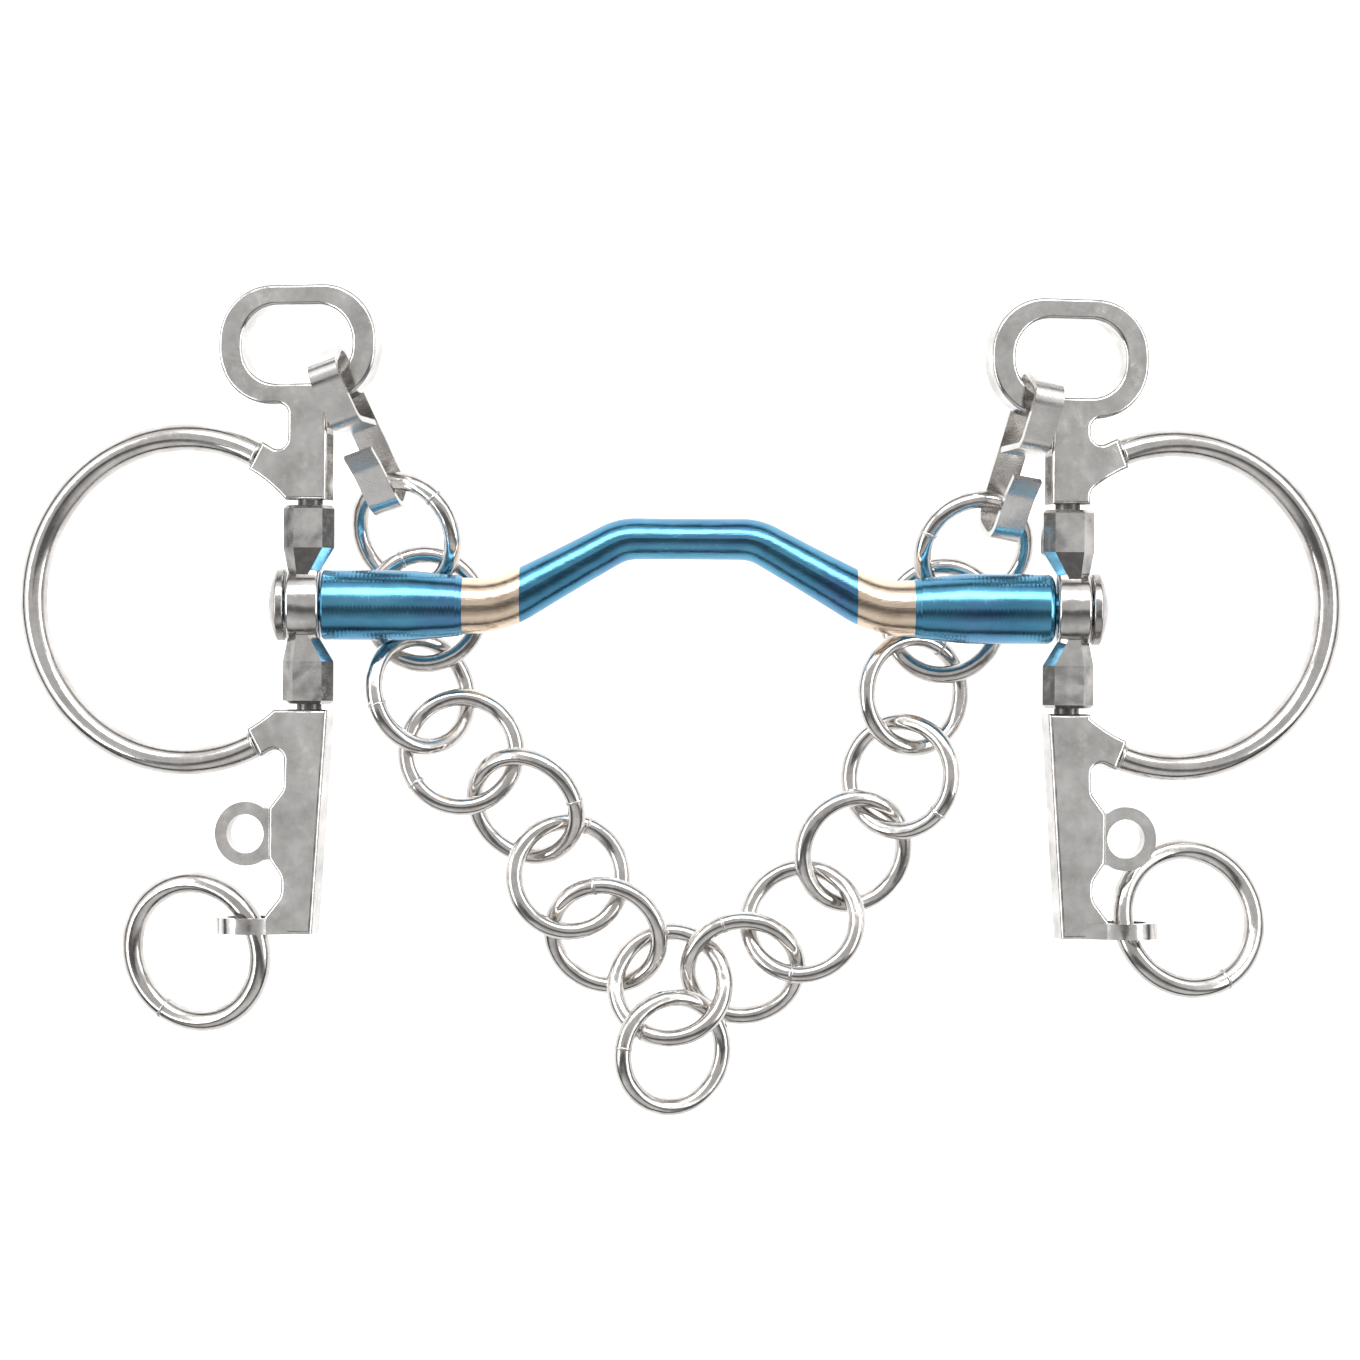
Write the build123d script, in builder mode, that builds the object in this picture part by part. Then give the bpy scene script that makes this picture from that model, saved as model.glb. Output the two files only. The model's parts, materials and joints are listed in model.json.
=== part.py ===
from build123d import *
import os
from math import acos, cos, degrees, radians, sin, sqrt, tan

os.makedirs("parts", exist_ok=True)

# A pelham curb bit lying flat. Origin: middle of the mouthpiece, on the line of its two axle
# tenons. +X runs along the mouthpiece, +Y towards the headstall eyes, +Z up from the table.

# ---- driving dimensions, mm -------------------------------------------------------------
mouth_width = 135.0  # between the inner faces of the two swivel sleeves
table_z = -14.8  # the surface that the bit lies on
gap = 0.3  # play between pieces that turn on each other

# mouthpiece
tenon_r = 3.0
core_r = 3.5
band_core_r = 3.0
barrel_r = 6.45
barrel_inner_x = 41.5
band_inner_x = 31.0
band_end_r = 5.25
bar_depth_r = 4.5
port_rise = 12.5
port_half = 12.2
slope_foot_x = 34.8
foot_bend_r = 18.0
port_bend_r = 10.0
barrel_rim = {"left": 0.4, "right": 1.4}  # rounding of each barrel's outer edge
head_r = 6.6
head_thick = 3.1
head_rim = 1.5

# swivel sleeves
pin_x = 69.6
disc_r = 6.8
disc_thick = 6.2
block_w = 9.3
block_half = 18.2  # from the tenon's axis to the end of either end block
block_inner = 10.4
neck_inner = 5.6
hinge_pin_r = 2.3
hinge_clear = 0.05

# cheeks, laid out in the cheek's own plane: out = away from the mouthpiece, up = +Y
cheek_tilt = 13.0  # the outer side of each cheek drops to the table
cheek_thick = 5.3
rim_round = 0.7
body_w = 7.5
cheek_gap = 1.0
eye_outer = (30.2, 22.0)
eye_hole = (21.2, 14.3)
ring_up = 1.0
ring_r = 30.0
ring_wire_r = 2.55
ring_join_out = 10.0  # where the ring's wire is welded to the two arms
arm_half = 2.9
shank_end = -60.5
lip_up = -42.2
lip_hole_r = 3.6
lip_outer_r = 5.9
lip_thick = 2.8
toe_out = 11.0
toe_thick = 2.9
toe_hole_r = 4.4
toe_outer_r = 6.6

# the two castings are not perfect mirrors: how far out and up the eye sits, and how far out
# the centre of the D-ring and the lip-strap loop sit
eye_at = {"left": (2.1, 47.8), "right": (-0.2, 46.0)}
ring_out = {"left": 24.2, "right": 21.2}
lip_out = {"left": 11.8, "right": 11.2}

# rein rings, curb hooks and curb chain
rein_r = 13.1
rein_wire_r = 2.0
link_r = 10.2
link_wire_r = 1.65
strip_w = 5.5
strip_t = 1.1

SIDES = {"left": -1, "right": 1}


# ---- helpers ------------------------------------------------------------------------------
def finish(piece, name):
    """Label a finished piece and write it to its own file."""
    piece.part.label = name
    export_step(piece.part, f"parts/{name}.step")


def cheek_plane(side):
    """The tilted mid-plane of a cheek: x is outward, y is up the cheek."""
    sign = SIDES[side]
    tilt = radians(cheek_tilt)
    outward = (sign * cos(tilt), 0, -sin(tilt))
    normal = (sin(tilt), 0, sign * cos(tilt))
    return Plane(origin=(sign * pin_x, 0, 0), x_dir=outward, z_dir=normal)


def cross_edges(piece, plane):
    """The straight edges of a plate that run through its thickness."""
    return piece.edges().filter_by(GeomType.LINE).filter_by(Axis((0, 0, 0), plane.z_dir))


def soften(piece, plane, out, up, radius):
    """Round the edge through a plate's thickness that is nearest to (out, up)."""
    near = plane.from_local_coords(Vector(out, up, 0))
    fillet(cross_edges(piece, plane).sort_by_distance(near)[0], radius=radius)


def rim_edges(piece, plane):
    """The edges round the two flat faces of a plate."""
    return piece.faces().filter_by(Axis((0, 0, 0), plane.z_dir)).sort_by(SortBy.AREA)[-2:].edges()


def round_corner(sketch, x, y, radius):
    """Round the sketch's corner nearest to (x, y)."""
    fillet(sketch.vertices().sort_by_distance(Vector(x, y, 0))[0], radius=radius)


# ---- mouthpiece ---------------------------------------------------------------------------
with BuildLine() as bar_line:
    FilletPolyline(
        (-barrel_inner_x, 0),
        (-slope_foot_x, 0),
        (-port_half, port_rise),
        (port_half, port_rise),
        (slope_foot_x, 0),
        (barrel_inner_x, 0),
        radius=[foot_bend_r, port_bend_r, port_bend_r, foot_bend_r],
    )
bar_wire = bar_line.wires()[0]


def across(at):
    """The plane square to the bar, at a fraction of its length."""
    return Plane(origin=bar_wire @ at, x_dir=(0, 0, 1), z_dir=bar_wire % at)


bar_stations = [
    (0.0, band_end_r, band_end_r - 0.05),
    (0.13, 4.8, 4.6),
    (0.3, bar_depth_r, 4.0),
    (0.5, bar_depth_r, 3.8),
    (0.7, bar_depth_r, 4.0),
    (0.87, 4.8, 4.6),
    (1.0, band_end_r, band_end_r - 0.05),
]

with BuildPart() as bar_skin:
    for at, depth, height in bar_stations:
        with BuildSketch(across(at)):
            Ellipse(depth, height)
    sweep(path=bar_wire, multisection=True)

with BuildPart() as bar_core:
    with BuildSketch(across(0)):
        Circle(band_core_r)
    sweep(path=bar_wire)

tenon_end = mouth_width / 2 + disc_thick + gap + 1.6
disc_in = mouth_width / 2
disc_out = disc_in + disc_thick
barrel_end = mouth_width / 2 - gap

with BuildPart() as mouth_bar:
    add(bar_skin.part)
    Box(2 * band_inner_x, 60, 60, mode=Mode.INTERSECT)
    add(bar_core.part)
    for sign in SIDES.values():
        with BuildSketch(Plane.YZ.offset(sign * barrel_inner_x)):
            Circle(core_r)
        extrude(amount=sign * (barrel_end - barrel_inner_x))
        with BuildSketch(Plane.YZ.offset(sign * barrel_end)):
            Circle(tenon_r)
        extrude(amount=sign * (tenon_end - barrel_end))
finish(mouth_bar, "mouth_bar")

for side, sign in SIDES.items():
    with BuildPart() as band:
        add(bar_skin.part)
        with Locations((sign * (band_inner_x + barrel_inner_x) / 2, 0, 0)):
            Box(barrel_inner_x - band_inner_x, 60, 60, mode=Mode.INTERSECT)
        add(bar_core.part, mode=Mode.SUBTRACT)
    finish(band, f"{side}_inlay_band")

    with BuildPart() as barrel:
        with BuildSketch(Plane.XY) as barrel_profile:
            with BuildLine():
                Polyline(
                    (sign * barrel_inner_x, core_r),
                    (sign * barrel_inner_x, band_end_r + 0.1),
                    (sign * (barrel_inner_x + 1.2), band_end_r + 0.4),
                    (sign * (barrel_inner_x + 9.5), barrel_r),
                    (sign * barrel_end, barrel_r),
                    (sign * barrel_end, core_r),
                    close=True,
                )
            make_face()
            round_corner(barrel_profile, sign * barrel_end, barrel_r, barrel_rim[side])
        revolve(axis=Axis.X)
    finish(barrel, f"{side}_barrel")

    with BuildPart() as rivet_head:
        head_face = sign * (disc_out + gap)
        dome = head_thick - head_rim
        dome_r = (head_r**2 + dome**2) / (2 * dome)
        dome_half = dome_r - sqrt(dome_r**2 - head_r**2 / 4)
        with BuildSketch(Plane.XY):
            with BuildLine():
                Polyline(
                    (head_face + sign * head_thick, 0),
                    (sign * tenon_end, 0),
                    (sign * tenon_end, tenon_r),
                    (head_face, tenon_r),
                    (head_face, head_r),
                    (head_face + sign * head_rim, head_r),
                )
                ThreePointArc(
                    (head_face + sign * head_rim, head_r),
                    (head_face + sign * (head_thick - dome_half), head_r / 2),
                    (head_face + sign * head_thick, 0),
                )
            make_face()
        revolve(axis=Axis.X)
        rims = rivet_head.edges().filter_by(GeomType.CIRCLE).sort_by(SortBy.LENGTH)[-2:]
        fillet(rims, radius=0.4)
    finish(rivet_head, f"{side}_rivet_head")


# ---- swivel sleeves -----------------------------------------------------------------------
def level(side, y):
    """A plane square to the hinge pins at height y."""
    return Plane(origin=(SIDES[side] * pin_x, y, 0), x_dir=(1, 0, 0), z_dir=(0, 1, 0))


def block_section(width, depth, corner):
    """An end block's section: a rectangle with flats cut across its corners."""
    block = Rectangle(width, depth)
    chamfer(block.vertices(), length=corner)


for side, sign in SIDES.items():
    with BuildPart() as sleeve:
        with BuildSketch(Plane.YZ.offset(sign * disc_in)):
            Circle(disc_r)
        extrude(amount=sign * disc_thick)
        fillet(sleeve.edges().filter_by(GeomType.CIRCLE), radius=0.7)
        for end in (1, -1):
            with BuildSketch(level(side, end * block_inner)):
                block_section(block_w, block_w, 2.0)
            extrude(amount=end * (block_half - block_inner))
            with BuildSketch(level(side, end * block_inner)):
                block_section(block_w, block_w, 2.0)
            with BuildSketch(level(side, end * neck_inner)):
                with Locations((sign * 1.0, 0)):
                    block_section(5.4, 8.0, 1.6)
            loft()
        ends = sleeve.faces().sort_by(Axis.Y)
        chamfer(ends[0].edges() + ends[-1].edges(), length=0.6)
        with BuildSketch(Plane.YZ.offset(sign * (disc_in - 1))):
            Circle(tenon_r + hinge_clear)
        extrude(amount=sign * (disc_thick + 4), mode=Mode.SUBTRACT)
        for end in (1, -1):
            with BuildSketch(level(side, end * block_half)):
                Circle(hinge_pin_r + hinge_clear)
            extrude(amount=-end * 7.0, mode=Mode.SUBTRACT)
    finish(sleeve, f"{side}_swivel_sleeve")


# ---- cheeks -------------------------------------------------------------------------------
stub_up = block_half + cheek_gap
pin_bottom = block_half - 6.6
pin_buried = 4.5


def ring_sector(centre_out, first, last, half):
    """A stretch of the D-ring's own arc, 2 * half wide, between two angles."""
    middle = (centre_out, ring_up)
    with BuildSketch(mode=Mode.PRIVATE) as sector:
        with BuildLine():
            outer = CenterArc(middle, ring_r + half, 180 - last, last - first)
            inner = CenterArc(middle, ring_r - half, 180 - last, last - first)
            Line(outer @ 0, inner @ 0)
            Line(outer @ 1, inner @ 1)
        make_face()
    return sector.sketch


def root_up(centre_out, half):
    """How far up from the D-ring's centre line an arm's edge meets the cheek's straight side."""
    return sqrt((ring_r + half) ** 2 - (centre_out - body_w / 2) ** 2)


for side, sign in SIDES.items():
    plane = cheek_plane(side)
    ring_centre = ring_out[side]
    ring_join = degrees(acos((ring_centre - ring_join_out) / ring_r))
    ring_root = degrees(acos((ring_centre - 1.5) / ring_r))
    outer_root = root_up(ring_centre, arm_half)
    inner_root = root_up(ring_centre, -arm_half)
    eye_up = eye_at[side][1]
    eye_foot = eye_up - eye_outer[1] / 2

    with BuildPart() as eye_cheek:
        with BuildSketch(plane):
            with Locations((0, (stub_up + eye_up) / 2)):
                Rectangle(body_w, eye_up - stub_up)
            add(ring_sector(ring_centre, ring_root, ring_join, arm_half))
            with Locations((0, stub_up - 6)):
                Rectangle(30, 12, mode=Mode.SUBTRACT)
            with Locations(eye_at[side]):
                RectangleRounded(*eye_outer, radius=eye_outer[1] / 2 - 0.8)
            with Locations(eye_at[side]):
                RectangleRounded(*eye_hole, radius=eye_hole[1] / 2 - 0.4, mode=Mode.SUBTRACT)
        extrude(amount=cheek_thick / 2, both=True)
        soften(eye_cheek, plane, body_w / 2, ring_up + outer_root, 2.0)
        if ring_up + inner_root > stub_up + 1:
            soften(eye_cheek, plane, body_w / 2, ring_up + inner_root, 1.8)
        soften(eye_cheek, plane, body_w / 2, eye_foot, 1.8)
        soften(eye_cheek, plane, -body_w / 2, eye_foot, 3.0)
        fillet(rim_edges(eye_cheek, plane), radius=rim_round)
        with BuildSketch(level(side, stub_up)):
            Circle(hinge_pin_r)
        extrude(amount=pin_buried, mode=Mode.SUBTRACT)
    finish(eye_cheek, f"{side}_eye_cheek")

    with BuildPart() as shank:
        with BuildSketch(plane):
            with BuildLine():
                Polyline(
                    (-4.2, -stub_up),
                    (4.0, -stub_up),
                    (4.2, -33.8),
                    (7.0, -37.4),
                    (7.0, -46.6),
                    (4.6, -50.0),
                    (4.6, -53.4),
                    (8.0, -57.6),
                    (8.0, shank_end),
                    (-1.5, shank_end),
                    close=True,
                )
            make_face()
            add(ring_sector(ring_centre, -ring_join, -ring_root, arm_half))
            with Locations((0, 6 - stub_up)):
                Rectangle(30, 12, mode=Mode.SUBTRACT)
        extrude(amount=cheek_thick / 2, both=True)
        soften(shank, plane, 4.1, ring_up - outer_root, 1.8)
        soften(shank, plane, 4.2, -33.8, 2.4)
        soften(shank, plane, 7.0, -37.4, 1.6)
        soften(shank, plane, 7.0, -46.6, 1.6)
        soften(shank, plane, 4.6, -50.0, 2.4)
        soften(shank, plane, 4.6, -53.4, 3.0)
        fillet(rim_edges(shank, plane), radius=rim_round)
        with BuildSketch(plane):
            with Locations((lip_out[side], lip_up)):
                Circle(lip_outer_r)
            with Locations(((lip_out[side] + 3) / 2, lip_up)):
                Rectangle(lip_out[side] - 3, 1.6 * lip_outer_r)
        extrude(amount=lip_thick / 2, both=True)
        with BuildSketch(plane):
            with Locations((lip_out[side], lip_up)):
                Circle(lip_hole_r)
        extrude(amount=cheek_thick, both=True, mode=Mode.SUBTRACT)
        toe_foot = plane.from_local_coords(Vector(0, shank_end, 0))
        toe_plane = Plane(origin=toe_foot, x_dir=plane.x_dir, z_dir=(0, 1, 0))
        with BuildSketch(toe_plane):
            with BuildLine():
                Polyline(
                    (2, -cheek_thick / 2 + rim_round),
                    (toe_out - 2.5, -toe_outer_r + 0.5),
                    (toe_out - 2.5, toe_outer_r - 0.5),
                    (2, cheek_thick / 2 - rim_round),
                    close=True,
                )
            make_face()
            with Locations((toe_out, 0)):
                Circle(toe_outer_r)
        extrude(amount=toe_thick)
        with BuildSketch(toe_plane.offset(-1)):
            with Locations((toe_out, 0)):
                Circle(toe_hole_r)
        extrude(amount=toe_thick + 3, mode=Mode.SUBTRACT)
        with BuildSketch(level(side, -stub_up)):
            Circle(hinge_pin_r)
        extrude(amount=-pin_buried, mode=Mode.SUBTRACT)
    finish(shank, f"{side}_shank")

    with BuildPart() as d_ring:
        with BuildLine(plane) as ring_line:
            CenterArc((ring_centre, ring_up), ring_r, ring_join - 180, 2 * (180 - ring_join))
        ring_path = ring_line.line
        with BuildSketch(Plane(origin=ring_path @ 0, z_dir=ring_path % 0)):
            Circle(ring_wire_r)
        sweep(path=ring_path)
    finish(d_ring, f"{side}_d_ring")

    for end, place in ((1, "upper"), (-1, "lower")):
        with BuildPart() as hinge_pin:
            with BuildSketch(level(side, end * pin_bottom)):
                Circle(hinge_pin_r)
            extrude(amount=end * (stub_up + pin_buried - pin_bottom))
        finish(hinge_pin, f"{side}_{place}_pin")


# ---- loose rings --------------------------------------------------------------------------
def loose_ring(name, middle, normal, radius, wire):
    """A closed round-wire ring."""
    with BuildPart() as ring:
        with Locations(Plane(origin=middle, z_dir=normal)):
            Torus(radius, wire)
    finish(ring, name)


# Each rein ring hangs in its toe loop: where its wire passes the loop's hole (out of the
# hole's middle, down from it), the bearing of its centre from there, and how the ring's
# plane slopes down to the table, along X and along Y.
rein_lay = {
    "left": {"out": -0.2, "down": 0.8, "bearing": 26.0, "slope": (0.35, 0.15)},
    "right": {"out": 0.7, "down": 1.5, "bearing": -9.0, "slope": (-0.27, -0.27)},
}

for side, lay in rein_lay.items():
    sign = SIDES[side]
    plane = cheek_plane(side)
    hole = plane.from_local_coords(Vector(toe_out + lay["out"], shank_end + toe_thick / 2, 0))
    hole -= Vector(0, 0, lay["down"])
    slope_x, slope_y = lay["slope"]
    bearing = radians(lay["bearing"])
    step_x = sign * cos(bearing)
    step_y = -sin(bearing)
    step = Vector(step_x, step_y, slope_x * step_x + slope_y * step_y).normalized() * rein_r
    loose_ring(f"{side}_rein_ring", hole + step, (-slope_x, -slope_y, 1), rein_r, rein_wire_r)

# How each link of the chain lies: x and y of its centre, its height over the table, how far
# it leans, and the bearing of its high side.
chain_lay = [
    (-52.5, 13.5, 7.5, 36, 35),
    (-49.0, -0.5, 6.0, 2, -20),
    (-49.5, -16.0, 8.0, 38, -160),
    (-42.0, -27.0, 7.5, 6, -110),
    (-30.0, -37.0, 8.0, 32, 50),
    (-22.0, -50.0, 7.0, 14, -145),
    (-15.0, -61.0, 6.0, 24, 65),
    (-3.0, -70.0, 7.5, 20, -75),
    (10.5, -67.0, 6.0, 26, 95),
    (21.5, -58.0, 7.5, 20, -60),
    (31.0, -45.0, 6.0, 24, 150),
    (39.5, -31.0, 7.5, 26, -10),
    (42.0, -15.5, 6.5, 28, -180),
    (47.5, -2.0, 5.0, 8, -35),
    (53.0, 11.0, 7.0, 30, 125),
]
fly_lay = (-2.4, -82.4, 9.0, 26, 170)


def lay_ring(name, lay):
    """Lay one ring of the chain as chain_lay describes it."""
    x, y, height, lean, bearing = lay
    rise = tan(radians(lean))
    normal = (-rise * cos(radians(bearing)), -rise * sin(radians(bearing)), 1)
    loose_ring(name, (x, y, table_z + height), normal, link_r, link_wire_r)


for number, lay in enumerate(chain_lay, start=1):
    lay_ring(f"chain_link_{number:02d}", lay)
lay_ring("fly_ring", fly_lay)


# ---- curb hooks ---------------------------------------------------------------------------
# A hook is one strip bent in its own plane: x runs down the hook, y from its back strip to
# the open front. The top bend closes round the eye's rim, the bottom bend holds the chain.
# Each hook lies along the line from the eye's rim to the chain's end link, rolled about it.
hook_back = -5.0
hook_front = 5.9
hook_top = -0.3
hook_bottom = 30.4
hook_lay = {
    "left": {"rim": (-64.3, 39.6, 1.3), "rim_at": 6.2, "link": (-56.7, 22.7, -6.2), "roll": 12},
    "right": {"rim": (63.4, 37.0, 1.4), "rim_at": 5.3, "link": (58.6, 19.4, -6.1), "roll": -16},
}

for side, lay in hook_lay.items():
    rim = Vector(*lay["rim"])
    along = (Vector(*lay["link"]) - rim).normalized()
    upward = (Vector(0, 0, 1) - along * along.Z).normalized()
    front = upward.rotate(Axis((0, 0, 0), along), lay["roll"])
    hook_plane = Plane(origin=rim - along * lay["rim_at"], x_dir=along, z_dir=along.cross(front))
    with BuildPart() as hook:
        with BuildSketch(hook_plane):
            with BuildLine():
                FilletPolyline(
                    (15.6, hook_back + 1.8),
                    (10.9, hook_front),
                    (hook_top, hook_front),
                    (hook_top, hook_back),
                    (hook_bottom, hook_back),
                    (hook_bottom, hook_front - 0.5),
                    (20.5, hook_front + 0.2),
                    (16.6, hook_front + 1.4),
                    radius=[2.6, 2.8, 2.8, 3.6, 3.6, 5.0],
                )
            trace(line_width=strip_t)
        extrude(amount=strip_w / 2, both=True)
    finish(hook, f"{side}_hook")
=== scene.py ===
import json
import math

import bmesh
import bpy
import numpy as np
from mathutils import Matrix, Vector, noise


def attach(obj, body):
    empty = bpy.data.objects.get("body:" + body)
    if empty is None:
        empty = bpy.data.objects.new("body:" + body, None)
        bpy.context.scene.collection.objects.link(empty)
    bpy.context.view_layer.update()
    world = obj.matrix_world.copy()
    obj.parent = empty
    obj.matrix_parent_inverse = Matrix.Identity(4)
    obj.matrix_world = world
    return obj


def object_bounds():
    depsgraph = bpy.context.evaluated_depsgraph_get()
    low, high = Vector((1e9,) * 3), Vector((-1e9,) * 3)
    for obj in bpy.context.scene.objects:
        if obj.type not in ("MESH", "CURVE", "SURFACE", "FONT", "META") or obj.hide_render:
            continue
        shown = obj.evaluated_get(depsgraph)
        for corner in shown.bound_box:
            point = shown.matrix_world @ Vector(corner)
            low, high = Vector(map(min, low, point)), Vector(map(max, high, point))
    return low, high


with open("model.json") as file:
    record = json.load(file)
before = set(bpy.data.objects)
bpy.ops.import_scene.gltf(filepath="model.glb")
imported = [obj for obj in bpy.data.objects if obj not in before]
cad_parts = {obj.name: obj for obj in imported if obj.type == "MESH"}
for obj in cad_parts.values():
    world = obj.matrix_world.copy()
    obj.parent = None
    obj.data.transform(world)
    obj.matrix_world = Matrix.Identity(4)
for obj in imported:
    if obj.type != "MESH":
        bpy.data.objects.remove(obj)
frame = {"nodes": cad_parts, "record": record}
cad_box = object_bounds()
nodes = frame["nodes"]

MM = 0.001
SIDES = {"left": -1, "right": 1}
BODY = {}
for body_name, members in frame["record"]["behaviour"]["bodies"].items():
    for member in members:
        BODY[member] = body_name


# ---- materials --------------------------------------------------------------------------
class Shade:
    """A Principled material, with short calls for the nodes that feed it."""

    def __init__(self, name, metallic=1.0):
        self.material = bpy.data.materials.new(name)
        self.material.use_nodes = True
        self.tree = self.material.node_tree
        self.shader = self.tree.nodes["Principled BSDF"]
        self.shader.inputs["Metallic"].default_value = metallic
        self.place = self.tree.nodes.new("ShaderNodeTexCoord").outputs["Object"]

    def link(self, source, target):
        self.tree.links.new(source, target)

    def plug(self, socket, value):
        """Set a socket from a number, a colour or another node's output."""
        if isinstance(value, bpy.types.NodeSocket):
            self.link(value, socket)
        else:
            socket.default_value = value

    def stretch(self, scale):
        mapping = self.tree.nodes.new("ShaderNodeMapping")
        mapping.inputs["Scale"].default_value = scale
        self.link(self.place, mapping.inputs["Vector"])
        return mapping.outputs["Vector"]

    def noise(self, scale, detail=4.0, rough=0.55, across=None):
        made = self.tree.nodes.new("ShaderNodeTexNoise")
        made.inputs["Scale"].default_value = scale
        made.inputs["Detail"].default_value = detail
        made.inputs["Roughness"].default_value = rough
        self.link(self.stretch(across) if across else self.place, made.inputs["Vector"])
        return made.outputs["Fac"]

    def bands(self, scale, axis, warp=0.0):
        made = self.tree.nodes.new("ShaderNodeTexWave")
        made.bands_direction = axis
        made.inputs["Scale"].default_value = scale
        made.inputs["Distortion"].default_value = warp
        made.inputs["Detail"].default_value = 3.0
        made.inputs["Detail Scale"].default_value = 2.0
        self.link(self.place, made.inputs["Vector"])
        return made.outputs["Fac"]

    def span(self, value, low, high, to_low=0.0, to_high=1.0):
        made = self.tree.nodes.new("ShaderNodeMapRange")
        self.plug(made.inputs["Value"], value)
        for socket, number in zip(made.inputs[1:5], (low, high, to_low, to_high)):
            socket.default_value = number
        return made.outputs["Result"]

    def mix(self, factor, first, second):
        made = self.tree.nodes.new("ShaderNodeMix")
        made.data_type = "RGBA"
        self.plug(made.inputs[0], factor)
        self.plug(made.inputs[6], first)
        self.plug(made.inputs[7], second)
        return made.outputs[2]

    def math(self, how, first, second=0.0):
        made = self.tree.nodes.new("ShaderNodeMath")
        made.operation = how
        self.plug(made.inputs[0], first)
        self.plug(made.inputs[1], second)
        return made.outputs[0]

    def bump(self, height, depth, under=None):
        made = self.tree.nodes.new("ShaderNodeBump")
        made.inputs["Strength"].default_value = 1.0
        made.inputs["Distance"].default_value = depth
        self.link(height, made.inputs["Height"])
        if under:
            self.link(under, made.inputs["Normal"])
        return made.outputs["Normal"]

    def finish(self, color, rough, normal=None):
        self.plug(self.shader.inputs["Base Color"], color)
        self.plug(self.shader.inputs["Roughness"], rough)
        if normal:
            self.link(normal, self.shader.inputs["Normal"])
        return self.material


def polished_steel(name, light, dark, rough, ripple, cloud=170.0, grain=(1, 1, 1)):
    """Polished stainless steel: soft ripple, faint clouding, hairline scratches and pits."""
    shade = Shade(name)
    clouds = shade.noise(cloud, 5.0, 0.6)
    grime = shade.span(shade.noise(cloud * 3.1, 6.0, 0.7), 0.55, 0.78)
    hairs = shade.noise(900.0, 3.0, 0.6, across=grain)
    color = shade.mix(shade.span(clouds, 0.35, 0.7), light, dark)
    color = shade.mix(shade.math("MULTIPLY", grime, 0.25), color, (0.30, 0.27, 0.25, 1))
    base = shade.span(clouds, 0.3, 0.75, rough * 0.6, rough * 1.5)
    rough_out = shade.math("ADD", base, shade.span(hairs, 0.45, 0.8, 0.0, 0.10))
    normal = shade.bump(shade.noise(cloud * 0.55, 2.0, 0.5), ripple)
    normal = shade.bump(hairs, 0.000012, normal)
    return shade.finish(color, rough_out, normal)


BLUE_LIGHT = (0.12, 0.37, 0.55, 1)
BLUE_DARK = (0.06, 0.22, 0.38, 1)
VIOLET = (0.13, 0.14, 0.40, 1)
RUBBED = (0.36, 0.46, 0.50, 1)


def blued_steel(name, turned):
    """Heat-blued steel: sweeps of light and dark blue, a violet bloom and rubbed lines."""
    shade = Shade(name)
    sweep = shade.noise(130.0, 4.0, 0.6, across=(0.35, 1.0, 1.0))
    bloom = shade.span(shade.noise(60.0, 3.0, 0.5), 0.56, 0.74)
    color = shade.mix(shade.span(sweep, 0.32, 0.68), BLUE_DARK, BLUE_LIGHT)
    color = shade.mix(shade.math("MULTIPLY", bloom, 0.4), color, VIOLET)
    rubbed = shade.span(shade.noise(420.0, 5.0, 0.75), 0.66, 0.80)
    color = shade.mix(shade.math("MULTIPLY", rubbed, 0.55), color, RUBBED)
    hairs = shade.noise(700.0, 3.0, 0.6, across=(8.0, 0.6, 0.6) if turned else (0.4, 6.0, 6.0))
    rough = shade.math("ADD", shade.span(sweep, 0.3, 0.7, 0.12, 0.22), shade.span(hairs, 0.5, 0.8, 0.0, 0.12))
    normal = shade.bump(shade.noise(150.0, 2.0, 0.5), 0.00012)
    normal = shade.bump(hairs, 0.00002, normal)
    if turned:
        normal = shade.bump(shade.bands(430.0, "X", 0.4), 0.000018, normal)
    return shade.finish(color, rough, normal)


def bronze(name):
    """The polished bronze inlay, with lines rubbed along the bar."""
    shade = Shade(name)
    tarnish = shade.span(shade.noise(220.0, 5.0, 0.65), 0.5, 0.8)
    color = shade.mix(shade.math("MULTIPLY", tarnish, 0.6), (0.83, 0.67, 0.52, 1), (0.52, 0.38, 0.28, 1))
    hairs = shade.noise(800.0, 3.0, 0.6, across=(0.5, 6.0, 6.0))
    normal = shade.bump(shade.noise(260.0, 2.0, 0.5), 0.00006)
    normal = shade.bump(hairs, 0.000014, normal)
    return shade.finish(color, shade.span(hairs, 0.35, 0.8, 0.13, 0.30), normal)


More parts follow.
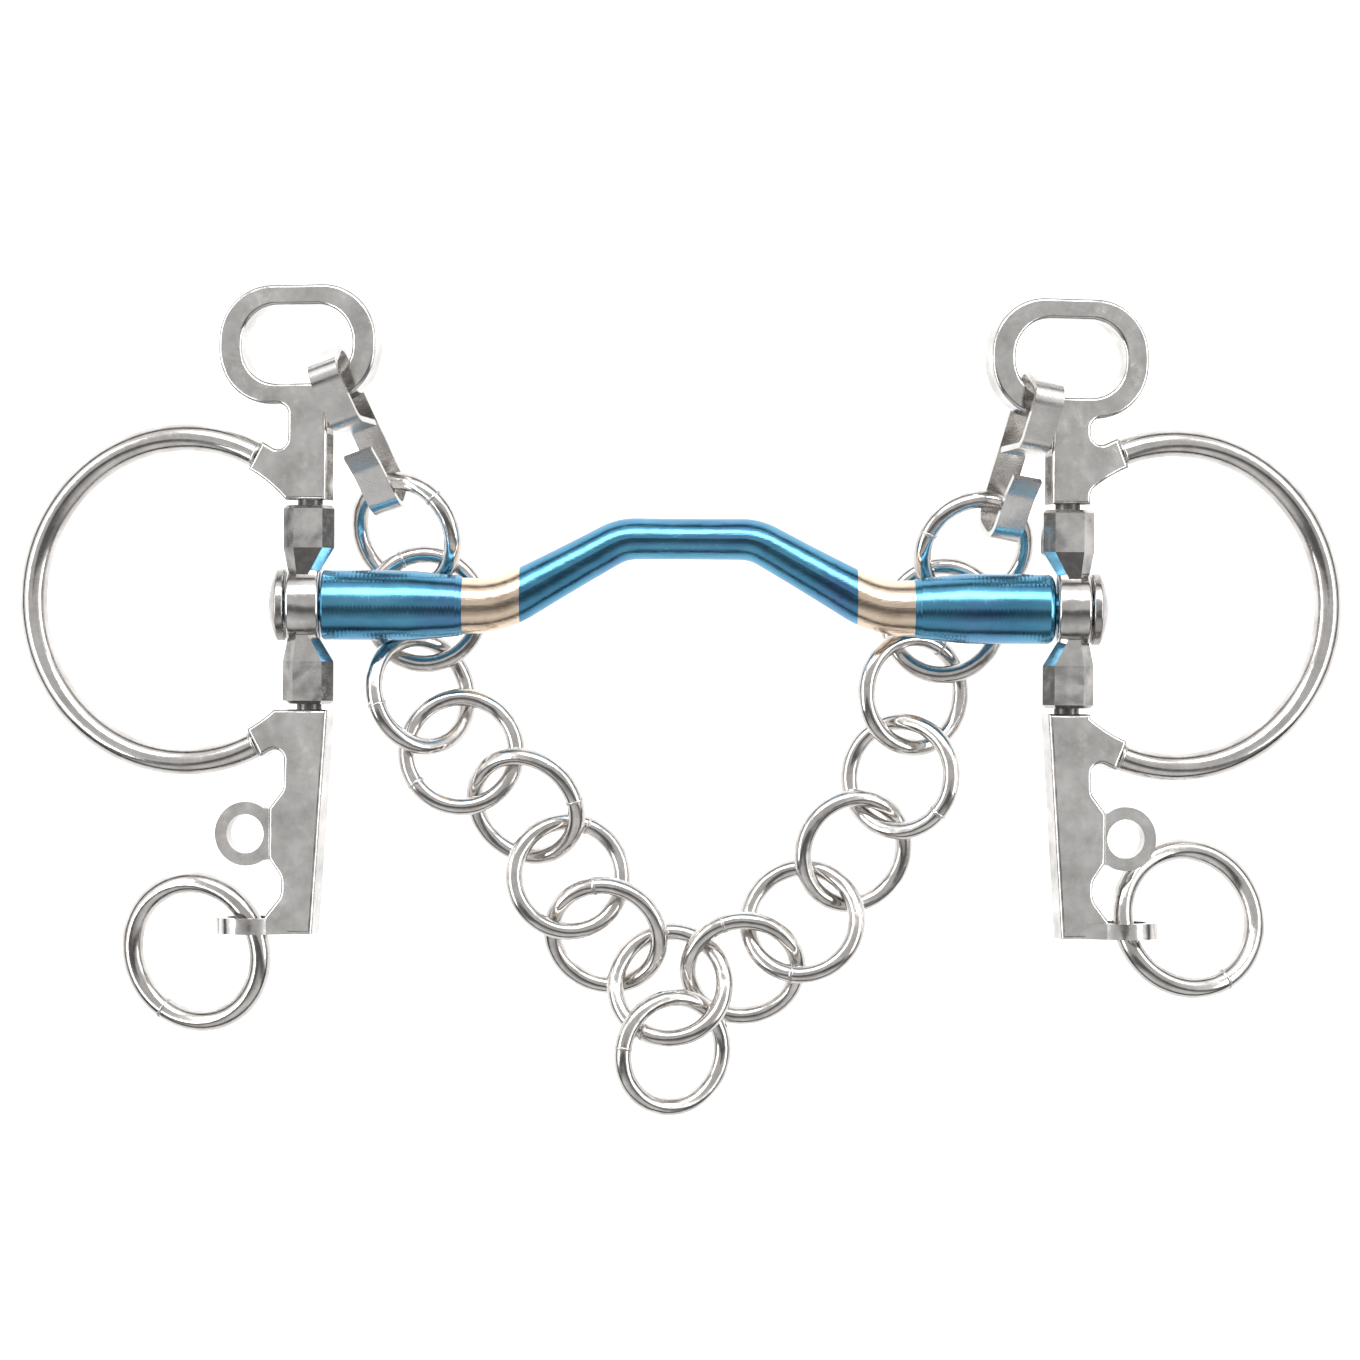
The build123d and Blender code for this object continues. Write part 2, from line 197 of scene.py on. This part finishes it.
STEEL_LIGHT = (0.74, 0.72, 0.70, 1)
STEEL_DARK = (0.45, 0.435, 0.42, 1)
WIRE_LIGHT = (0.72, 0.70, 0.68, 1)
WIRE_DARK = (0.50, 0.475, 0.455, 1)
HOOK_DARK = (0.56, 0.545, 0.53, 1)
HEAD_DARK = (0.34, 0.32, 0.31, 1)
# The pins are painted near black, much darker than the other steel; they show only in the narrow gaps between
# sleeves and cheeks.
PIN_LIGHT = (0.16, 0.15, 0.15, 1)
PIN_DARK = (0.05, 0.05, 0.05, 1)
cast = polished_steel("cast_steel", STEEL_LIGHT, STEEL_DARK, 0.15, 0.00055)
ring_metal = polished_steel("ring_steel", WIRE_LIGHT, WIRE_DARK, 0.12, 0.00012)
chain_metal = polished_steel("chain_steel", WIRE_LIGHT, WIRE_DARK, 0.13, 0.00022, 260.0)
hook_metal = polished_steel("hook_steel", WIRE_LIGHT, HOOK_DARK, 0.24, 0.00012, 140.0, (1, 7, 7))
head_metal = polished_steel("rivet_steel", STEEL_DARK, HEAD_DARK, 0.24, 0.00040, 420.0)
pin_metal = polished_steel("pin_steel", PIN_LIGHT, PIN_DARK, 0.35, 0.00008)
weld_metal = polished_steel("weld_steel", STEEL_LIGHT, HEAD_DARK, 0.30, 0.00020, 900.0)
blue_bar = blued_steel("blued_bar", turned=False)
blue_barrel = blued_steel("blued_barrel", turned=True)
bronze_band = bronze("bronze_band")

FINISHES = {
    "mouth_bar": blue_bar,
    "barrel": blue_barrel,
    "inlay_band": bronze_band,
    "rivet_head": head_metal,
    "swivel_sleeve": cast,
    "eye_cheek": cast,
    "shank": cast,
    "d_ring": ring_metal,
    "rein_ring": ring_metal,
    "pin": pin_metal,
    "hook": hook_metal,
    "chain_link": chain_metal,
    "fly_ring": chain_metal,
}


def finish_of(name):
    for part, material in FINISHES.items():
        if part in name:
            return material
    raise KeyError(name)


for name, node in nodes.items():
    node.data.materials.clear()
    node.data.materials.append(finish_of(name))


# ---- butt welds ---------------------------------------------------------------------------
WIRE_SEAM = 0.16 * MM  # how far a weld stands out from its wire
SEAM_TURNS = 28
SEAM_SIDES = 8


def weld_bead(name, place, along, wire_r, body):
    """A slightly lumpy bead round a wire, where its two ends are welded."""
    bead = bmesh.new()
    turn = Vector(along).to_track_quat("Z", "X").to_matrix()
    rows = []
    for step in range(SEAM_TURNS):
        angle = math.tau * step / SEAM_TURNS
        spoke = turn @ Vector((math.cos(angle), math.sin(angle), 0))
        lump = 1.0 + 0.35 * noise.noise((Vector(place) + spoke * wire_r) * 900.0)
        row = []
        for side in range(SEAM_SIDES):
            around = math.tau * side / SEAM_SIDES
            out = wire_r + WIRE_SEAM * lump * math.cos(around) - 0.04 * MM
            shift = 2.2 * WIRE_SEAM * lump * math.sin(around)
            row.append(bead.verts.new(Vector(place) + spoke * out + Vector(along) * shift))
        rows.append(row)
    for row, following in zip(rows, rows[1:] + rows[:1]):
        for side in range(SEAM_SIDES):
            other = (side + 1) % SEAM_SIDES
            bead.faces.new((row[side], following[side], following[other], row[other]))
    bmesh.ops.recalc_face_normals(bead, faces=bead.faces)
    mesh = bpy.data.meshes.new(name)
    bead.to_mesh(mesh)
    bead.free()
    mesh.polygons.foreach_set("use_smooth", [True] * len(mesh.polygons))
    mesh.materials.append(weld_metal)
    weld = bpy.data.objects.new(name, mesh)
    bpy.context.scene.collection.objects.link(weld)
    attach(weld, body)


def points_of(name):
    mesh = nodes[name].data
    flat = np.empty(len(mesh.vertices) * 3)
    mesh.vertices.foreach_get("co", flat)
    return flat.reshape(-1, 3)


def ring_weld(name, heading):
    """A weld on a closed ring, on the side that a heading from its centre points to."""
    points = points_of(name)
    centre = (points.min(axis=0) + points.max(axis=0)) / 2
    normal = np.linalg.svd(points - centre, full_matrices=False)[2][2]
    flat = (points - centre) - np.outer((points - centre) @ normal, normal)
    reach = np.linalg.norm(flat, axis=1)
    radius = (reach.max() + reach.min()) / 2
    wire_r = (reach.max() - reach.min()) / 2
    across = np.array((math.cos(math.radians(heading)), math.sin(math.radians(heading)), 0.0))
    across[2] = -(across @ normal) / normal[2]
    across /= np.linalg.norm(across)
    weld_bead(f"{name}_weld", centre + across * radius, np.cross(normal, across), wire_r, BODY[name])


CHAIN_WELDS = {
    "chain_link_01": 49,
    "chain_link_02": 115,
    "chain_link_03": -164,
    "chain_link_04": -145,
    "chain_link_05": 8,
    "chain_link_06": 70,
    "chain_link_07": 102,
    "chain_link_08": -119,
    "chain_link_09": 113,
    "chain_link_10": -101,
    "chain_link_11": -86,
    "chain_link_12": -44,
    "chain_link_13": 60,
    "chain_link_14": -20,
    "chain_link_15": 161,
    "fly_ring": 173,
    "left_rein_ring": -120,
    "right_rein_ring": -60,
}
for name, heading in CHAIN_WELDS.items():
    ring_weld(name, heading)


PIN_X = 69.6 * MM
CHEEK_TILT = math.radians(13.0)
RING_OUT = {"left": 24.2 * MM, "right": 21.2 * MM}
RING_UP = 1.0 * MM
RING_R = 30.0 * MM
RING_WIRE = 2.55 * MM
JOIN_OUT = 10.3 * MM


def cheek_vector(sign, out, up):
    """A direction or offset in a cheek's tilted plane, as a direction in the frame."""
    return np.array((sign * out * math.cos(CHEEK_TILT), up, -out * math.sin(CHEEK_TILT)))


def arm_welds(side, sign):
    """The two welds where the D-ring's wire meets the arms of the cheek."""
    inward = (RING_OUT[side] - JOIN_OUT) / RING_R
    for end, upward in (("upper", 1), ("lower", -1)):
        spoke_out = -inward
        spoke_up = upward * math.sqrt(1 - inward**2)
        reach = cheek_vector(sign, RING_OUT[side] + RING_R * spoke_out, RING_UP + RING_R * spoke_up)
        place = np.array((sign * PIN_X, 0.0, 0.0)) + reach
        along = cheek_vector(sign, spoke_up, -spoke_out)
        weld_bead(f"{side}_{end}_arm_weld", place, along, RING_WIRE, BODY[f"{side}_d_ring"])


for side, sign in SIDES.items():
    arm_welds(side, sign)

# ---- floor, light and camera --------------------------------------------------------------
low, high = cad_box
middle = (low + high) / 2

floor_mesh = bpy.data.meshes.new("floor")
span = 3.0
# The floor lies well below the bit, clear of the cheeks and chain when they swing right down.
FLOOR_DROP = 0.15
floor_z = low.z - FLOOR_DROP
corners = [(x * span, y * span, floor_z) for x, y in ((-1, -1), (1, -1), (1, 1), (-1, 1))]
floor_mesh.from_pydata(corners, [], [(0, 1, 2, 3)])
floor = bpy.data.objects.new("floor", floor_mesh)
bpy.context.scene.collection.objects.link(floor)
floor_shade = Shade("floor_white", metallic=0.0)
floor_shade.shader.inputs["Emission Color"].default_value = (1, 1, 1, 1)
seen = floor_shade.tree.nodes.new("ShaderNodeLightPath").outputs["Is Camera Ray"]
glow = floor_shade.span(seen, 0.0, 1.0, 0.12, 0.66)
floor_shade.link(glow, floor_shade.shader.inputs["Emission Strength"])
floor_tone = floor_shade.mix(floor_shade.noise(6.0), (0.93, 0.93, 0.93, 1), (0.95, 0.95, 0.95, 1))
floor_mesh.materials.append(floor_shade.finish(floor_tone, 0.8))

# The studio: dark towards the horizon and the near side, bright over the far side, so a wire
# shows bright and dark streaks and the bar is lit above its middle line and dark below it.
world = bpy.data.worlds.new("studio")
world.use_nodes = True
bpy.context.scene.world = world
sky = world.node_tree
direction = sky.nodes.new("ShaderNodeTexCoord").outputs["Generated"]
split = sky.nodes.new("ShaderNodeSeparateXYZ")
sky.links.new(direction, split.inputs[0])


def sky_math(how, first, second):
    made = sky.nodes.new("ShaderNodeMath")
    made.operation = how
    for socket, value in zip(made.inputs, (first, second)):
        if isinstance(value, bpy.types.NodeSocket):
            sky.links.new(value, socket)
        else:
            socket.default_value = value
    return made.outputs[0]


def sky_ramp(source, stops):
    """A ramp of grey tones over a value from 0 to 1."""
    made = sky.nodes.new("ShaderNodeValToRGB")
    sky.links.new(source, made.inputs[0])
    ramp = made.color_ramp
    (ramp.elements[0].position, first), *between, (ramp.elements[1].position, last) = stops
    ramp.elements[0].color = (first, first, first, 1)
    ramp.elements[1].color = (last, last, last, 1)
    for place, tone in between:
        ramp.elements.new(place).color = (tone, tone, tone, 1)
    return made.outputs[0]


SKY_HEIGHT = ((0.0, 0.10), (0.14, 0.12), (0.30, 1.0), (0.62, 1.0), (0.80, 0.62), (0.90, 0.55), (1.0, 0.62))
SKY_DEPTH = ((0.0, 0.5), (0.12, 0.75), (0.26, 0.70), (0.36, 0.20), (0.48, 0.24), (0.52, 1.0), (1.0, 1.0))
SIDEWAYS_LIFT = 0.24  # how much a direction to either side counts as one to the far side
aside = sky_math("MULTIPLY", sky_math("ABSOLUTE", split.outputs["X"], 0.0), SIDEWAYS_LIFT)
depth = sky_math("ADD", sky_math("MULTIPLY", split.outputs["Y"], 0.5), 0.5)
tall = sky_ramp(split.outputs["Z"], SKY_HEIGHT)
deep = sky_ramp(sky_math("ADD", depth, aside), SKY_DEPTH)
tone = sky_math("MULTIPLY", tall, deep)
sky.links.new(tone, sky.nodes["Background"].inputs["Color"])
sky.nodes["Background"].inputs["Strength"].default_value = 1.05


def softbox(name, place, size, power):
    """A rectangular soft light aimed at the middle of the object."""
    data = bpy.data.lights.new(name, "AREA")
    data.shape = "RECTANGLE"
    data.size, data.size_y = size
    data.energy = power
    lamp = bpy.data.objects.new(name, data)
    bpy.context.scene.collection.objects.link(lamp)
    lamp.location = place
    lamp.rotation_euler = (middle - lamp.location).to_track_quat("-Z", "Y").to_euler()
    return lamp


softbox("key_back", (0.0, 0.62, 0.62), (1.1, 0.35), 6.0)
softbox("side_left", (-0.75, 0.0, 0.5), (0.9, 0.18), 3.0)
softbox("side_right", (0.75, 0.1, 0.5), (0.9, 0.18), 3.0)
bpy.context.scene.view_settings.view_transform = "Standard"

CAMERA_HEIGHT = 0.700
CAMERA_OVER = (-0.00147, -0.0134)
CAMERA_ROLL = math.radians(0.35)
camera_data = bpy.data.cameras.new("camera")
camera_data.sensor_width = 36.0
camera_data.lens = 100.8
camera_data.clip_start, camera_data.clip_end = 0.01, 20.0
camera = bpy.data.objects.new("camera", camera_data)
camera.location = (*CAMERA_OVER, CAMERA_HEIGHT)
camera.rotation_euler.z = CAMERA_ROLL
bpy.context.scene.collection.objects.link(camera)
bpy.context.scene.camera = camera
